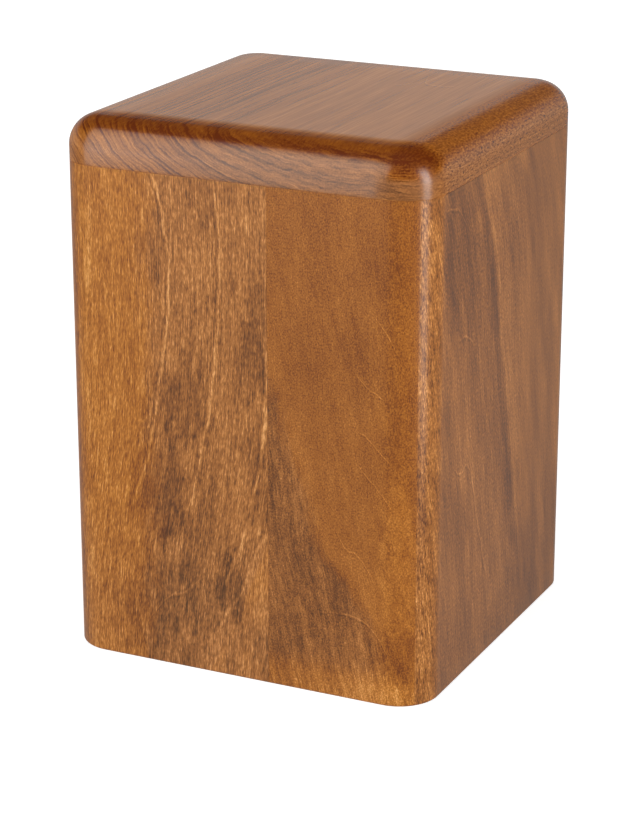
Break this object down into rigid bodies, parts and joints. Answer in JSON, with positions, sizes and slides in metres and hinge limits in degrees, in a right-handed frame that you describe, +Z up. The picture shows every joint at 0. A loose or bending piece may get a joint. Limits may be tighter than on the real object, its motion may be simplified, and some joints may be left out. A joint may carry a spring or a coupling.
{
  "type": "cremation urn box",
  "caption": "Upright solid-wood box urn that holds ashes, with rounded upright corners, a rounded top panel and a base panel set in from below.",
  "frame": {"origin": "centre of the underside, on the surface that the box stands on", "axes": "+Z up along the height, -Y out of the front wall with its two boards, +X to the right seen from the front"},
  "size_m": [0.168, 0.17, 0.235],
  "materials": {
    "stained_hardwood": "walnut-brown stain under satin lacquer"
  },
  "bodies": {
    "root": {"top_panel": "stained_hardwood", "front_board_left": "stained_hardwood", "front_board_right": "stained_hardwood", "right_wall": "stained_hardwood", "back_wall": "stained_hardwood", "left_wall": "stained_hardwood", "base_panel": "stained_hardwood"}
  },
  "joints": []
}
